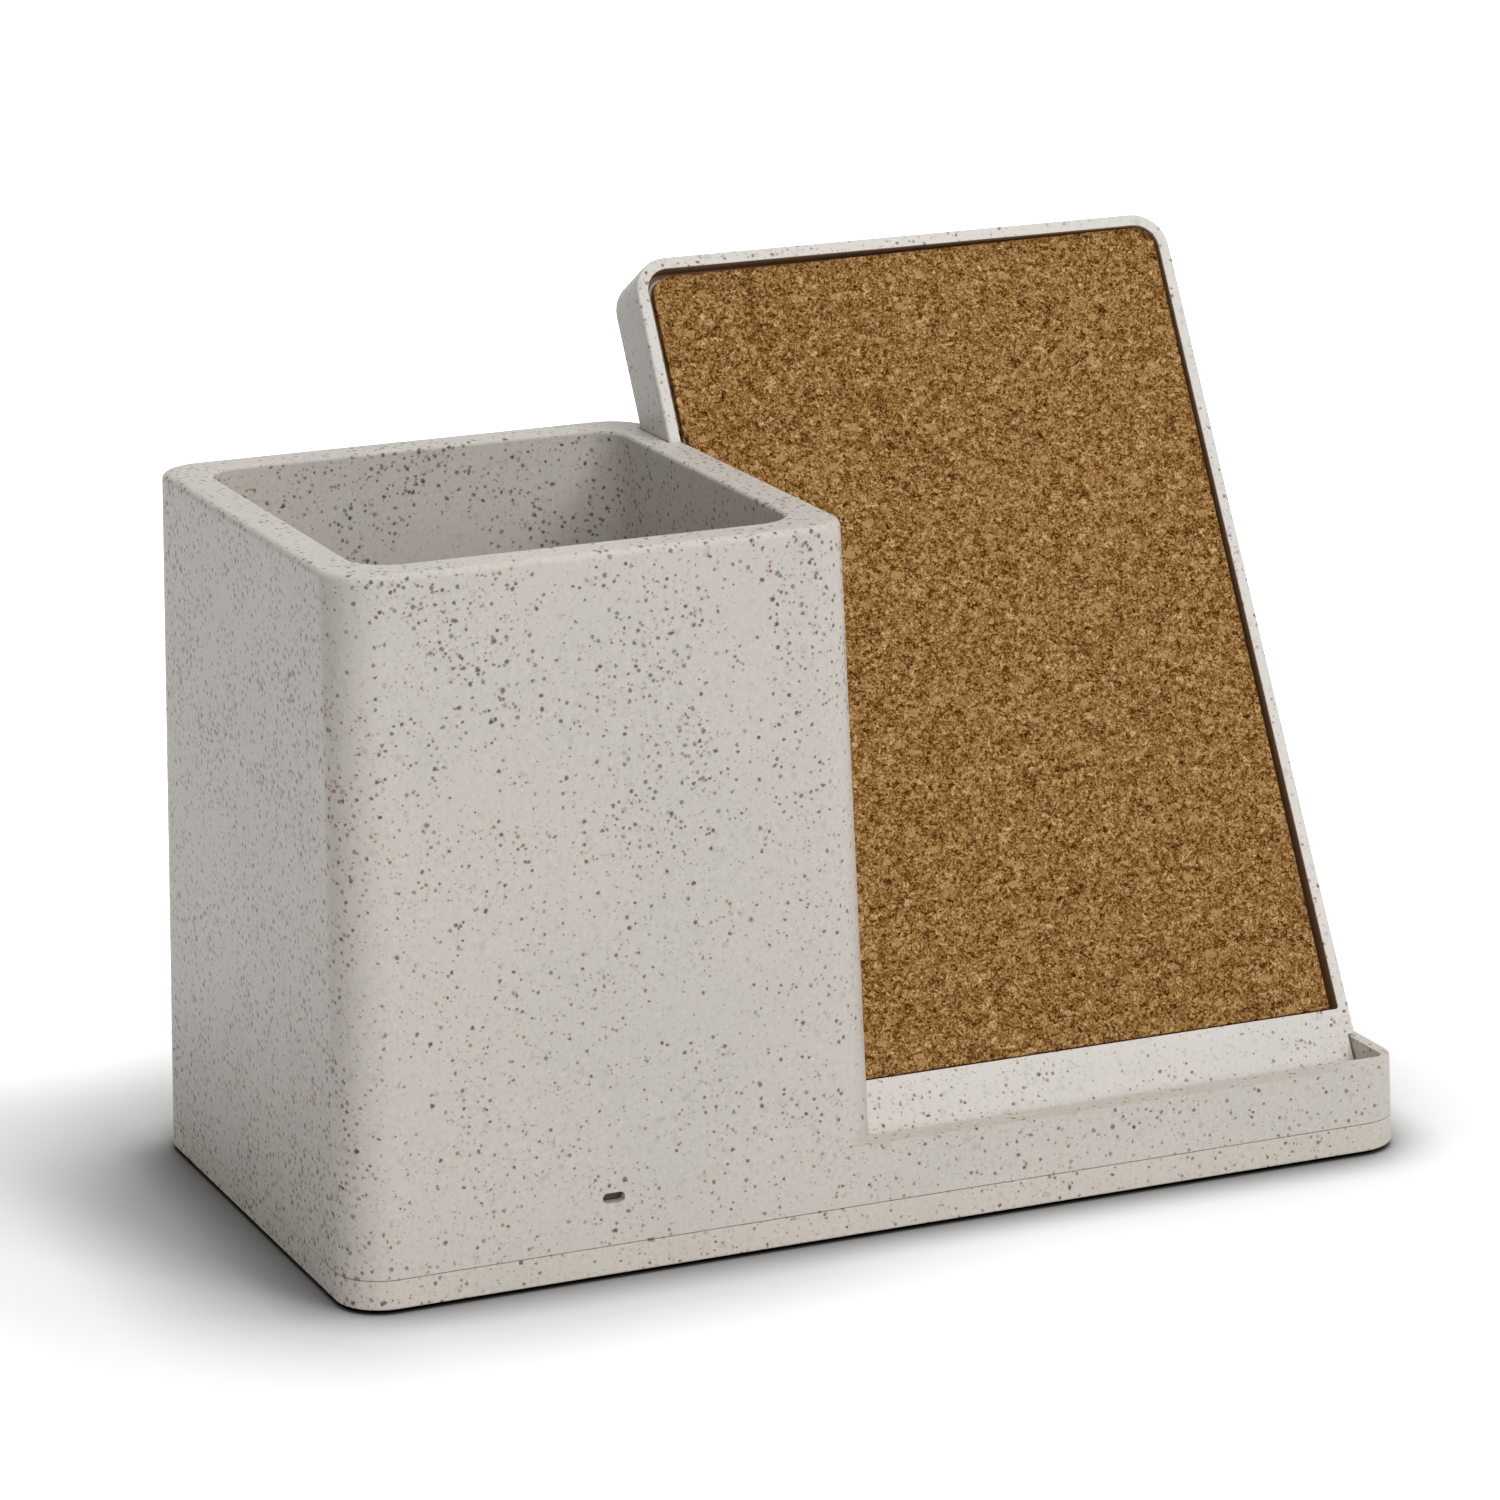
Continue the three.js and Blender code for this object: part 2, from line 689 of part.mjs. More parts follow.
function makeCableInlet() {
  const half = inletWidth / 2;
  const radius = inletHeight / 2;
  const back = baseDepth - leanIn(boardTop) - inletRecess;
  const front = back - inletLength;
  const outer = plate(outline(-half, -radius, half, radius, radius - inletShell), front, back);
  const innerHalf = half - inletShell;
  const innerRadius = radius - inletShell;
  const mouth = plate(
    outline(-innerHalf, -innerRadius, innerHalf, innerRadius, innerRadius - inletShell),
    front + inletBackWall, back + cutOverrun,
  );
  const tongueHalf = innerHalf - inletTongueMargin;
  const tongue = block(
    -tongueHalf, front + inletBackWall / 2, -inletTongueThickness / 2,
    tongueHalf, front + inletBackWall + inletTongueLength, inletTongueThickness / 2,
  );
  return toGeometry(cutAll(toSolid(outer), [mouth]).add(toSolid(tongue)));
}

function makeLightGuide() {
  const radius = slotDepth / 2 - lensGap;
  const half = slotWidth / 2 - lensGap;
  const outerFace = leanIn(slotHeight) + lensRecess;
  return plate(outline(-half, -radius, half, radius, radius), outerFace, boardFront + fitGap);
}

function makeBoard() {
  const sheet = prism(
    outline(boardLeft, boardFront, boardLeft + boardWidth, boardFront + boardLength, boardCorner),
    boardHeight, boardTop,
  );
  const holes = boardScrewPlaces.map(([x, y]) => post(x, y, coverFloor, partLevel, screwHole, screwSides));
  return toGeometry(cutAll(toSolid(sheet), holes));
}

function boardPart(length, width, thickness) {
  return new THREE.BoxGeometry(length, width, thickness).translate(0, 0, thickness / 2);
}

const organiser = new THREE.Group();
const body = new THREE.Group();
const stand = new THREE.Group();
stand.position.copy(standPlace.position);
stand.rotation.copy(standPlace.rotation);
body.add(stand);
organiser.add(body);

function finish(color, roughness, metalness = 0) {
  return new THREE.MeshStandardMaterial({ color, roughness, metalness });
}

function addPart(group, name, geometry, material, x = 0, y = 0, z = 0) {
  const mesh = new THREE.Mesh(geometry, material);
  mesh.name = name;
  mesh.position.set(x, y, z);
  group.add(mesh);
  return mesh;
}

addPart(body, 'upper_shell', makeUpperShell(), finish('#c8c2bb', 0.5));
addPart(body, 'bottom_cover', makeBottomCover(), finish('#c9c0b4', 0.55));
footPlaces.forEach(([x, y], i) => {
  const pad = new THREE.CylinderGeometry(footRadius, footRadius, footThickness, roundSides).rotateX(quarterTurn);
  addPart(body, `rubber_foot_${i + 1}`, pad, finish('#2a2a2b', 0.9), x, y, footThickness / 2 - footProud);
});
coverScrewPlaces.forEach(([x, y], i) => {
  addPart(body, `cover_screw_${i + 1}`, makeScrew(coverScrewLength), finish('#8c8f92', 0.35, 1), x, y,
    screwSeat - fitGap - screwHeadHeight);
});

addPart(stand, 'stand_frame', makeStandFrame(), finish('#d4d0cd', 0.5));
addPart(stand, 'stand_back_cover', makeStandBackCover(), finish('#d0ccc8', 0.5));
addPart(stand, 'adhesive_sheet',
  recessSheet(corkMargin + fitGap, adhesiveFront, adhesiveFront + adhesiveThickness), finish('#d8d6cc', 0.7));
addPart(stand, 'cork_pad', recessSheet(corkMargin, corkDepth, corkBack), finish('#967042', 0.85));
addPart(stand, 'coil_winding', makeCoilWinding(), finish('#b5673a', 0.4, 1), standMiddle,
  coilFront + coilThickness / 2, coilHeight);
addPart(stand, 'ferrite_plate', makeFerritePlate(), finish('#2c2c2e', 0.75));
addPart(stand, 'coil_carrier', makeCoilCarrier(), finish('#e6e4de', 0.6));
standScrewPlaces.forEach(([x, y], i) => {
  addPart(body, `stand_screw_${i + 1}`, makeScrew(standScrewLength), finish('#8c8f92', 0.35, 1), x, y,
    standFootLevel - socketFloor - 2 * fitGap - screwHeadHeight);
});

addPart(body, 'circuit_board', makeBoard(), finish('#1f5a3a', 0.6));
boardScrewPlaces.forEach(([x, y], i) => {
  const screw = makeScrew(boardScrewLength).rotateX(2 * quarterTurn);
  addPart(body, `board_screw_${i + 1}`, screw, finish('#8c8f92', 0.35, 1), x, y, partLevel + screwHeadHeight);
});
addPart(body, 'cable_inlet', makeCableInlet(), finish('#a9adb0', 0.3, 1), inletX, 0, partLevel + inletHeight / 2);
const boardMiddleX = boardLeft + boardWidth / 2;
const boardMiddleY = boardFront + boardLength / 2;
addPart(body, 'controller_chip', boardPart(chipSide, chipSide, chipThickness), finish('#1b1b1d', 0.6),
  boardMiddleX, boardMiddleY, partLevel);
addPart(body, 'power_inductor', boardPart(inductorSide, inductorSide, inductorThickness), finish('#3a3a3c', 0.7),
  boardMiddleX - boardWidth / 4, boardMiddleY + chipSide, partLevel);
for (let i = 0; i < 3; i += 1) {
  const part = boardPart(capacitorWidth, capacitorLength, capacitorThickness);
  addPart(body, `resonance_capacitor_${i + 1}`, part, finish('#b89a6a', 0.6),
    boardMiddleX + boardWidth / 4, boardMiddleY + (i - 1) * capacitorSpacing, partLevel);
}
addPart(body, 'indicator_lamp', boardPart(lampWidth, lampLength, lampThickness), finish('#e8e6da', 0.4),
  slotX, boardFront + 2 * fitGap + lampLength / 2, partLevel);
addPart(body, 'light_guide', makeLightGuide(), finish('#b9b7b2', 0.3), slotX, 0, slotHeight);
[-1, 1].forEach((side, i) => {
  addPart(body, `coil_lead_${i + 1}`, makeCoilLead(side), finish('#7a3524', 0.6));
});

// Stand the organiser on its feet, centred on its own footprint
const bounds = new THREE.Box3().setFromObject(body, true);
const middle = bounds.getCenter(new THREE.Vector3());
body.position.set(-middle.x, -middle.y, -bounds.min.z);

export default organiser;
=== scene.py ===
from math import cos, pi, radians, sin

import bmesh
import bpy
from mathutils import Matrix, Vector


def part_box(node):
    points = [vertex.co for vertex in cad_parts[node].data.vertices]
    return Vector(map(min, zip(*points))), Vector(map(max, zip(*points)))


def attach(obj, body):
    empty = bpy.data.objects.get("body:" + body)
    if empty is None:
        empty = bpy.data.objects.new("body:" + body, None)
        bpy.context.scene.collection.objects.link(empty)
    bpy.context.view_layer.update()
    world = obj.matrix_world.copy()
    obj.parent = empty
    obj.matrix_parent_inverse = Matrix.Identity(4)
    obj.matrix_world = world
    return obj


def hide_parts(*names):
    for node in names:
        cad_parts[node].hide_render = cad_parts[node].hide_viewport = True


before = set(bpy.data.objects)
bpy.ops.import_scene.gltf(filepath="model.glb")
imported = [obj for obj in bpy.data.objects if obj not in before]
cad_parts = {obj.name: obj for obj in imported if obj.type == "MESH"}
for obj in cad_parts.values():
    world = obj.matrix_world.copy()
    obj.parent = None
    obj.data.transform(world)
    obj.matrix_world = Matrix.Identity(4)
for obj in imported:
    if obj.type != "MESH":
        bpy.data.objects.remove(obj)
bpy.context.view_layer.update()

MM = 0.001
WHITE = (1, 1, 1, 1)

# Softened copies: how wide their edges are rounded, and what counts as sharp, flat or one point
EDGE_SOFT = 0.35 * MM
EDGE_FINE = 0.15 * MM
EDGE_SEGMENTS = 3
SHARP_TURN = radians(36)
FLAT_TURN = radians(0.5)
SAME_POINT = 0.002 * MM

# Parting line under the shell: the gap between the solids, the narrower one on show, how near
# a point has to be to lie on it, and the share of the rounding that the shell's edge gets there
SEAM_GAP_SOLID = 0.3 * MM
SEAM_GAP = 0.12 * MM
SEAM_REACH = 0.05 * MM
SEAM_EDGE_SHARE = 0.3

# Camera, solved from the photograph's edges. It aims at a place given from the bottom cover
PHOTO_SIDE = 1500
FOCAL_PX = 5776.5
CENTRE_PX = (801.57, 819.88)
SENSOR_IN_MM = 36.0
CAMERA_AZIMUTH = radians(-23.226)
CAMERA_ELEVATION = radians(15.642)
CAMERA_ROLL = radians(-0.98)
CAMERA_DISTANCE = 782.3 * MM
AIM_FROM_LEFT = 80.02 * MM
AIM_FROM_FRONT = 40.03 * MM
AIM_ABOVE_COVER = 45.03 * MM

# Light: the sky's strength, and square lamps with their place, aim and size in metres, and power
SKY_LIGHT = 0.24
LAMPS = {
    "key": ((0.55, -1.1, 0.95), (0, 0, 0.04), 0.55, 6.9),
    "fill": ((-0.2, -1.34, 0.55), (0, 0, 0.04), 0.6, 4.4),
    "top": ((0.2, 0.05, 1.3), (0, 0, 0.05), 1.0, 7.0),
}

# Floor: its shade for bounced light and the paler one on show, how far the nooks reach where
# shadow is painted on it, where it fades to white all round and sooner behind, and where the
# painted shadow at the left is darker
FLOOR_HALF = 3.0
FLOOR_SHADE = 0.80
FLOOR_SHOWN = 1.27
FLOOR_SHADOW_REACHES = (30 * MM, 9 * MM)
FLOOR_FADE = (110 * MM, 200 * MM)
FLOOR_FADE_BEHIND = (55 * MM, 122 * MM)
FLOOR_SHADOW_LEFT = (66 * MM, 84 * MM)

# Stand: its lean, the way it faces and the way up it, the middle of the cork's face, and the
# recess round the cork, from that middle
STAND_LEAN = radians(29.2)
STAND_OUT = Vector((0, -cos(STAND_LEAN), sin(STAND_LEAN)))
STAND_UP = Vector((0, sin(STAND_LEAN), cos(STAND_LEAN)))
CORK_FACE = Vector((34.25, 5.4145, 68.8083)) * MM
RECESS_ACROSS = (-38.75 * MM, 39.05 * MM)
RECESS_UP = (-61.0 * MM, 54.4 * MM)
FACE_ABOVE_CORK = 0.8 * MM
RECESS_FLOOR_BELOW = 2.0 * MM

# Painted shade in the recess round the cork: it fades out below the stand's face and under the
# recess's floor, between two depths each time, and past the recess's sides
SHADE_BELOW_FACE = (0.4 * MM, 0.1 * MM)
SHADE_UNDER_FLOOR = (0.3 * MM, 0.1 * MM)
SHADE_PAST_SIDES = 0.1 * MM

# Cork sheet, stuck on by hand: above the cup its left edge lies further right
CORK_CLEAR_OF_CUP = 30.5 * MM
LEFT_EDGE_SHIFT = 0.5 * MM

# Its right edge lies inward at the bottom and turns outward. Its top edge lies low at the left
# and rises (all in mm)
RIGHT_EDGE_INWARD = 0.4
RIGHT_EDGE_TURN = 0.75
TOP_EDGE_LOW = 0.45
TOP_EDGE_RISE = 0.9

# Grains in the plastic gather in the upper part of the cup, fully from the second height
CROWD_START = 52 * MM
CROWD_FULL = 70 * MM

# On the cup's left side they are closer together and larger, which fades out a short way in
SIDE_START = 0.5 * MM
SIDE_END = 4 * MM
SIDE_EXTRA = 0.7
SIDE_GROWTH = 0.3

# How rough the plastic is, and how much light each finish mirrors
PLASTIC_ROUGHNESS = 0.42
PLASTIC_SHINE = 0.22
RUBBER_SHINE = 0.3
CORK_SHINE = 0.1

# Coil: the width of one turn of its wire
COIL_TURN_WIDTH = 0.9 * MM

cover_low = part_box("bottom_cover")[0]
shell_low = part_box("upper_shell")[0]


class Shade:
    """A shader value that adds, multiplies and divides like a number."""

    def __init__(self, tree, socket):
        self.tree = tree
        self.socket = socket

    def math(self, operation, *values):
        node = self.tree.nodes.new("ShaderNodeMath")
        node.operation = operation
        for socket, value in zip(node.inputs, values):
            feed(self.tree, socket, value)
        return Shade(self.tree, node.outputs[0])

    def __add__(self, other):
        return self.math("ADD", self, other)

    def __radd__(self, other):
        return self.math("ADD", other, self)

    def __sub__(self, other):
        return self.math("SUBTRACT", self, other)

    def __rsub__(self, other):
        return self.math("SUBTRACT", other, self)

    def __mul__(self, other):
        return self.math("MULTIPLY", self, other)

    def __rmul__(self, other):
        return self.math("MULTIPLY", other, self)

    def __truediv__(self, other):
        return self.math("DIVIDE", self, other)

    def __rtruediv__(self, other):
        return self.math("DIVIDE", other, self)

    def sine(self):
        return self.math("SINE", self)

    def root(self):
        return self.math("SQRT", self)

    def larger(self, other):
        return self.math("MAXIMUM", self, other)

    def rise(self, low, high, kind="LINEAR"):
        """0 up to low and 1 from high, in a straight line between them."""
        node = self.tree.nodes.new("ShaderNodeMapRange")
        node.interpolation_type = kind
        for socket, value in zip(("Value", "From Min", "From Max"), (self, low, high)):
            feed(self.tree, node.inputs[socket], value)
        return Shade(self.tree, node.outputs["Result"])

    def smooth(self, low, high):
        """0 up to low and 1 from high, with a soft start and end."""
        return self.rise(low, high, "SMOOTHSTEP")


def feed(tree, socket, value):
    """Link a shader value to a socket, or set the socket to a number or colour."""
    if isinstance(value, Shade):
        tree.links.new(value.socket, socket)
    else:
        socket.default_value = value


def set_stops(colour_ramp, stops):
    while len(colour_ramp.elements) < len(stops):
        colour_ramp.elements.new(1.0)
    for element, (place, colour) in zip(colour_ramp.elements, stops):
        element.position = place
        element.color = colour


def srgb(red, green, blue):
    """Linear colour of a screen colour given in 0 to 255."""
    def linear(value):
        value /= 255
        return value / 12.92 if value <= 0.04045 else ((value + 0.055) / 1.055) ** 2.4
    return (linear(red), linear(green), linear(blue), 1.0)


class Nodes:
    """The nodes of a material or of the world: one method makes them, and values join them."""

    def __init__(self, owner):
        owner.use_nodes = True
        self.tree = owner.node_tree
        self.tree.nodes.clear()

    def node(self, kind, settings=None, values=None):
        """Make a node with its settings and the values of its sockets. Give its outputs by name."""
        made = self.tree.nodes.new(kind)
        for key, value in (settings or {}).items():
            if key == "stops":
                set_stops(made.color_ramp, value)
            else:
                setattr(made, key, value)
        for key, value in (values or {}).items():
            feed(self.tree, made.inputs[key], value)
        return {out.name: Shade(self.tree, out) for out in made.outputs if out.enabled}

    def object_place(self):
        return self.node("ShaderNodeTexCoord")["Object"]

    def parts(self, place):
        return self.node("ShaderNodeSeparateXYZ", None, {0: place})

    def length(self, place):
        return self.node("ShaderNodeVectorMath", {"operation": "LENGTH"}, {0: place})["Value"]

    def seen_directly(self):
        """1 for rays that show a thing, straight, mirrored or through something clear."""
        path = self.node("ShaderNodeLightPath")
        seen = path["Is Camera Ray"].larger(path["Is Glossy Ray"])
        return seen.larger(path["Is Transmission Ray"])

    def open_share(self, reach):
        """The share of the sky that is clear within a reach of a place."""
        return self.node("ShaderNodeAmbientOcclusion", None, {"Distance": reach})["AO"]


class Finish(Nodes):
    """A new material with one surface shader, and the patterns that feed it.

    The scale of a pattern is the number of its cells or waves in a metre."""

    def __init__(self, name):
        self.material = bpy.data.materials.new(name)
        super().__init__(self.material)
        output = self.tree.nodes.new("ShaderNodeOutputMaterial")
        self.surface = self.tree.nodes.new("ShaderNodeBsdfPrincipled")
        self.tree.links.new(self.surface.outputs["BSDF"], output.inputs["Surface"])
        self.place = self.object_place()

    def set(self, socket, value):
        feed(self.tree, self.surface.inputs[socket], value)

    def noise_node(self, scale, detail, roughness, at):
        return self.node("ShaderNodeTexNoise", None, {
            "Vector": at or self.place, "Scale": scale, "Detail": detail, "Roughness": roughness,
        })

    def noise(self, scale, detail=2.0, roughness=0.5, at=None):
        return self.noise_node(scale, detail, roughness, at)["Fac"]

    def cells(self, scale, at):
        return self.node("ShaderNodeTexVoronoi", None, {"Vector": at, "Scale": scale})

    def split(self, colour):
        return self.node("ShaderNodeSeparateColor", None, {"Color": colour})

    def mix(self, factor, first, second):
        values = {0: factor, 6: first, 7: second}
        return self.node("ShaderNodeMix", {"data_type": "RGBA"}, values)["Result"]

    def vector(self, operation, first, second):
        values = {0: first, 1: second}
        return self.node("ShaderNodeVectorMath", {"operation": operation}, values)["Vector"]

    def dot(self, first, second):
        values = {0: first, 1: second}
        return self.node("ShaderNodeVectorMath", {"operation": "DOT_PRODUCT"}, values)["Value"]

    def moved(self, x, y, z):
        return self.vector("ADD", self.place, (x, y, z))

    def turned(self, at, turn, stretch=(1.0, 1.0, 1.0)):
        """Places moved and turned by the same three numbers, and stretched along their axes."""
        return self.node("ShaderNodeMapping", {"vector_type": "POINT"}, {
            "Vector": at, "Location": turn, "Rotation": turn, "Scale": stretch,
        })["Vector"]

    def wandering(self, scale, reach):
        """Places that wander by up to about a reach, which makes a pattern on them irregular."""
        waves = self.noise_node(scale, 2.0, 0.5, self.place)["Color"]
        drift = self.vector("SUBTRACT", waves, (0.5, 0.5, 0.5))
        return self.vector("ADD", self.place, self.vector("MULTIPLY", drift, (2 * reach,) * 3))

    def bump(self, height, strength, distance):
        values = {"Height": height, "Strength": strength, "Distance": distance}
        self.set("Normal", self.node("ShaderNodeBump", None, values)["Normal"])


def clouded_base(finish, mottle, warm, cool):
    """The plastic between its grains: two tones in broad clouds, with pale and dark mottles."""
    base = finish.mix(finish.noise(45.0, detail=3.0).smooth(0.36, 0.64), warm, cool)
    base = finish.mix(mottle.smooth(0.52, 0.72) * 0.40, base, srgb(222, 214, 207))
    return finish.mix((1.0 - mottle.smooth(0.28, 0.48)) * 0.35, base, srgb(176, 168, 162))


def grain_kinds(finish, crowd, amount):
    """How much each kind of grain covers a place, and its colour there, the deepest kind first."""
    parts = finish.parts(finish.place)
    upper = parts["Z"].smooth(CROWD_START, CROWD_FULL)
    beside = 1.0 - parts["X"].smooth(shell_low.x + SIDE_START, shell_low.x + SIDE_END)
    patch = finish.noise(85.0, 2.0, 0.6, at=finish.moved(0.31, 0.17, 0.23)).smooth(0.34, 0.66)
    heap = finish.noise(60.0, 2.0, 0.6, at=finish.moved(0.05, 0.41, 0.13)).smooth(0.44, 0.60)
    rough_place = finish.wandering(3000.0, 0.24 * MM)

    def grains(spacing, radius, turn, soft, cover, share, first, second):
        """Each cell may hold one grain, and the cell's colour sets its chance, size and tone."""
        cell = finish.cells(1 / spacing, at=finish.turned(rough_place, turn))
        chance = finish.split(cell["Color"])
        size = (radius / spacing) * (0.42 + 0.58 * chance["Green"]) * (1.0 + SIDE_GROWTH * beside)
        present = (chance["Red"] + share).rise(0.99, 1.01)
        weight = (1.0 - (cell["Distance"] / size).smooth(soft, 1.0)) * present
        weight = weight * (cover * (0.6 + 0.4 * chance["Blue"]))
        return weight, finish.mix(chance["Blue"], first, second)

    spread = amount * (0.5 + 1.0 * patch) * (1.0 + SIDE_EXTRA * beside)
    crowded = crowd * upper
    dim = grains(1.9 * MM, 0.85 * MM, turn=(0.3, 0.7, 0.2), soft=0.0, cover=0.42,
                 share=0.55 * spread, first=srgb(146, 148, 158), second=srgb(164, 154, 150))
    dust = grains(0.62 * MM, 0.23 * MM, turn=(0.9, 0.4, 1.3), soft=0.2, cover=0.72,
                  share=0.75 * spread, first=srgb(150, 120, 100), second=srgb(124, 112, 106))
    rust = grains(0.92 * MM, 0.39 * MM, turn=(0.5, 1.1, 0.6), soft=0.35, cover=0.95,
                  share=0.40 * spread, first=srgb(154, 94, 50), second=srgb(112, 66, 42))
    bark = grains(0.96 * MM, 0.46 * MM, turn=(1.2, 0.2, 0.8), soft=0.35, cover=0.95,
                  share=(0.16 + 0.20 * crowded) * spread,
                  first=srgb(48, 40, 38), second=srgb(84, 68, 60))
    slate = grains(0.92 * MM, 0.53 * MM, turn=(0.7, 0.9, 0.1), soft=0.35, cover=0.95,
                   share=0.44 * heap * crowded, first=srgb(42, 42, 52), second=srgb(80, 80, 92))
    return [dim, dust, rust, bark, slate]


def speckled_plastic(name, warm, cool, crowd, amount=1.0, painted_shade=None):
    """Satin moulded plastic with grains mixed through it.

    crowd is how far they gather in the cup's upper part. The last argument may paint shade over the
    colour after them."""
    finish = Finish(name)
    mottle = finish.noise(1500.0, 3.0, 0.6)
    colour = clouded_base(finish, mottle, warm, cool)
    for weight, shade in grain_kinds(finish, crowd, amount):
        colour = finish.mix(weight, colour, shade)
    finish.set("Base Color", painted_shade(finish, colour) if painted_shade else colour)
    finish.set("Roughness", PLASTIC_ROUGHNESS + 0.10 * (mottle - 0.5))
    finish.set("Specular IOR Level", PLASTIC_SHINE)
    skin = finish.noise(1300.0) + 0.8 * finish.noise(150.0, detail=1.0)
    finish.bump(skin, strength=0.10, distance=0.05 * MM)
    return finish.material


def cork_gaps(finish, place):
    """Cracks between the granules, where a ridge is near its middle, and small pits."""
    lying = finish.turned(place, (0.8, 0.1, 0.5), (0.6, 1.0, 1.0))
    ridge = finish.noise(1000.0, 2.0, 0.55, at=lying) - 0.5
    broken = finish.noise(620.0, detail=1.0).smooth(0.46, 0.58)
    crack = (1.0 - (ridge * ridge).smooth(0.0, 0.0012)) * broken
    spot = finish.noise(2100.0, detail=1.0, at=finish.moved(0.4, 0.1, 0.2))
    return crack, 1.0 - spot.smooth(0.26, 0.38)


def pressed_cork(name):
    """Cork pressed into a sheet: fine tan flakes, dark cracks and a few big pale chips."""
    finish = Finish(name)
    finish.set("Specular IOR Level", CORK_SHINE)
    place = finish.wandering(1300.0, 0.5 * MM)
    lying = finish.turned(place, (0.5, 0.2, 0.1), (0.75, 1.0, 1.0))
    granule = finish.split(finish.cells(1500.0, at=lying)["Color"])
    crumb = finish.split(finish.cells(3200.0, at=finish.turned(place, (1.1, 0.4, 0.7)))["Color"])
    chip_cell = finish.cells(520.0, at=finish.turned(place, (0.2, 0.9, 0.4), (0.62, 1.0, 1.0)))
    chip_chance = finish.split(chip_cell["Color"])["Red"].rise(0.78, 0.82)
    chip = (1.0 - chip_cell["Distance"].smooth(0.22, 0.34)) * chip_chance
    fibre = finish.noise(3600.0, 2.0, 0.6)
    mottle = finish.noise(1500.0, 3.0, 0.7)
    cloud = finish.noise(110.0)
    crack, pit = cork_gaps(finish, place)

    tone = 0.48
    for pattern, share in ((granule["Red"], 0.24), (crumb["Red"], 0.46), (fibre, 1.28),
                           (mottle, 0.14), (cloud, 0.03)):
        tone = tone + share * (pattern - 0.5)
    tone = tone + 0.14 * granule["Green"].rise(0.84, 0.88) - 0.36 * crack - 0.34 * pit
    tone = tone + chip * (0.72 + 0.4 * (fibre - 0.5) - tone) * 0.8
    finish.set("Base Color", finish.node("ShaderNodeValToRGB", {"stops": [
        (0.0, srgb(58, 26, 0)), (0.25, srgb(102, 64, 18)), (0.5, srgb(146, 107, 58)),
        (0.75, srgb(180, 144, 96)), (1.0, srgb(214, 182, 136)),
    ]}, {"Fac": tone})["Color"])
    finish.set("Roughness", 0.82 + 0.12 * fibre)
    finish.bump(tone + 0.3 * granule["Blue"], strength=0.3, distance=0.14 * MM)
    return finish.material


def moulded_rubber(name):
    finish = Finish(name)
    grain = finish.noise(1800.0, detail=3.0)
    finish.set("Base Color", finish.mix(grain, srgb(34, 34, 36), srgb(52, 51, 52)))
    finish.set("Roughness", 0.78 + 0.16 * grain)
    finish.set("Specular IOR Level", RUBBER_SHINE)
    finish.bump(grain, strength=0.4, distance=0.05 * MM)
    return finish.material


def plated_steel(name, light, dark):
    finish = Finish(name)
    smear = finish.noise(700.0, 3.0, 0.6)
    finish.set("Base Color", finish.mix(smear, light, dark))
    finish.set("Metallic", 1.0)
    finish.set("Roughness", 0.24 + 0.2 * smear)
    finish.bump(finish.noise(3000.0), strength=0.15, distance=0.02 * MM)
    return finish.material


def smoky_guide(name):
    finish = Finish(name)
    cloud = finish.noise(900.0)
    finish.set("Base Color", finish.mix(cloud, srgb(64, 52, 46), srgb(42, 34, 31)))
    finish.set("Roughness", 0.35 + 0.2 * cloud)
    finish.bump(cloud, strength=0.1, distance=0.03 * MM)
    return finish.material


def inner_finish(name, light, dark, roughness, scale):
    finish = Finish(name)
    grain = finish.noise(scale, detail=3.0)
    finish.set("Base Color", finish.mix(grain, light, dark))
    finish.set("Roughness", roughness + 0.12 * (grain - 0.5))
    finish.bump(grain, strength=0.15, distance=0.03 * MM)
    return finish.material


def wound_copper(name, middle, axis):
    """Turns of enamelled wire, drawn as rings round the coil's axis."""
    finish = Finish(name)
    apart = finish.vector("SUBTRACT", finish.place, tuple(middle))
    along = finish.dot(apart, tuple(axis))
    span = finish.length(apart)
    radius = (span * span - along * along).root()
    wave = (radius * (2 * pi / COIL_TURN_WIDTH)).sine()
    tone = finish.mix(wave * 0.5 + 0.5, srgb(120, 62, 34), srgb(196, 118, 74))
    finish.set("Base Color", tone)
    finish.set("Metallic", 1.0)
    finish.set("Roughness", 0.32 + 0.1 * finish.noise(900.0))
    finish.bump(wave, strength=0.5, distance=0.1 * MM)
    return finish.material


def weigh_sharp_edges(mesh, weigh):
    """Mark the edges to round. weigh gives the share of the width for an edge at a place."""
    weight = mesh.edges.layers.float.new("bevel_weight_edge")
    for edge in mesh.edges:
        if len(edge.link_faces) == 2 and edge.calc_face_angle() > SHARP_TURN:
            middle = (edge.verts[0].co + edge.verts[1].co) / 2
            edge[weight] = weigh(middle) if weigh else 1.0


def work_in(piece):
    """Replace a piece's mesh by what its modifiers make of it, and take them off."""
    bpy.context.view_layer.update()
    graph = bpy.context.evaluated_depsgraph_get()
    mesh = bpy.data.meshes.new_from_object(piece.evaluated_get(graph))
    piece.modifiers.clear()
    piece.data = mesh


def round_edges(piece, width):
    bevel = piece.modifiers.new("soft_edges", "BEVEL")
    bevel.width = width
    bevel.segments = EDGE_SEGMENTS
    bevel.limit_method = "WEIGHT"
    bevel.use_clamp_overlap = True
    work_in(piece)


def smooth_skin(piece):
    for polygon in piece.data.polygons:
        polygon.use_smooth = True
    piece.data.set_sharp_from_angle(angle=SHARP_TURN)
    weighted = piece.modifiers.new("even_shading", "WEIGHTED_NORMAL")
    weighted.keep_sharp = True
    work_in(piece)


